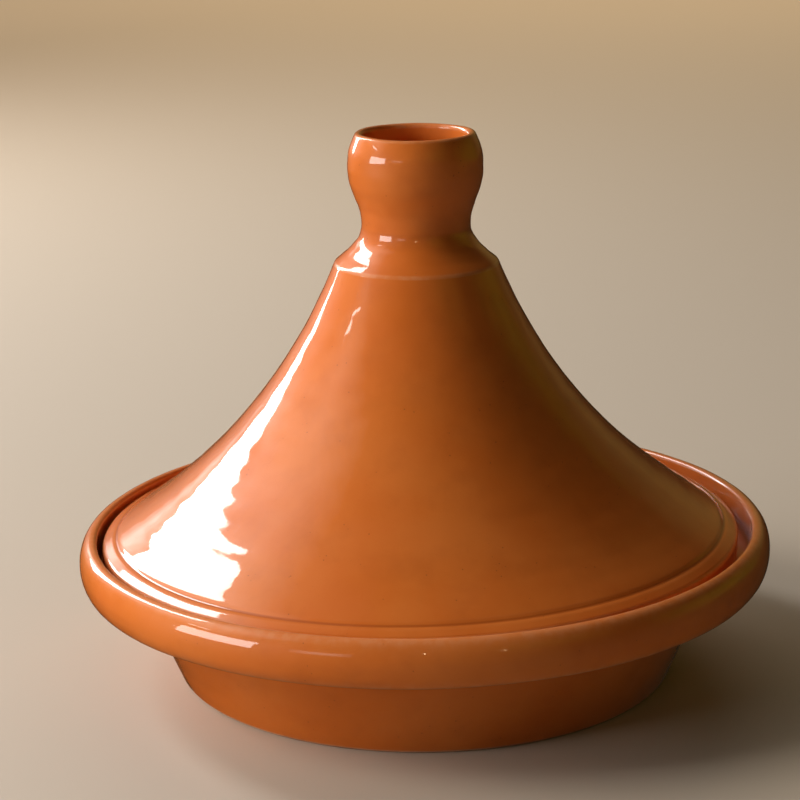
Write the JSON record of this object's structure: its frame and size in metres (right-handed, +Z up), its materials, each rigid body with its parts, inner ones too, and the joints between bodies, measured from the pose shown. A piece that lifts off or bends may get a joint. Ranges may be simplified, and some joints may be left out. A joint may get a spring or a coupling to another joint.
{
  "type": "tagine pot",
  "caption": "Round glazed clay tagine: a shallow thick-rimmed cooking dish and a tall flared lid with a hollow cup-shaped knob, which lifts straight off.",
  "frame": {"origin": "centre of the foot ring, on the surface the dish stands on", "axes": "+Z up along the pot's axis of turning; the pot is round, so X and Y are any two level directions"},
  "size_m": [0.3, 0.3, 0.2338],
  "materials": {
    "dish_glaze": "clear gloss glaze over red clay, bare clay under the foot",
    "lid_glaze": "clear gloss glaze over red clay, bare clay on the seat ring",
    "knob_glaze": "clear gloss glaze over red clay"
  },
  "bodies": {
    "dish": {"base_dish": "dish_glaze"},
    "lid": {"lid_cone": "lid_glaze", "lid_knob": "knob_glaze"}
  },
  "joints": [
    {"name": "lid_lift", "type": "slide", "parent": "dish", "child": "lid", "axis": [0, 0, 1], "range_m": [0, 0.15]}
  ]
}
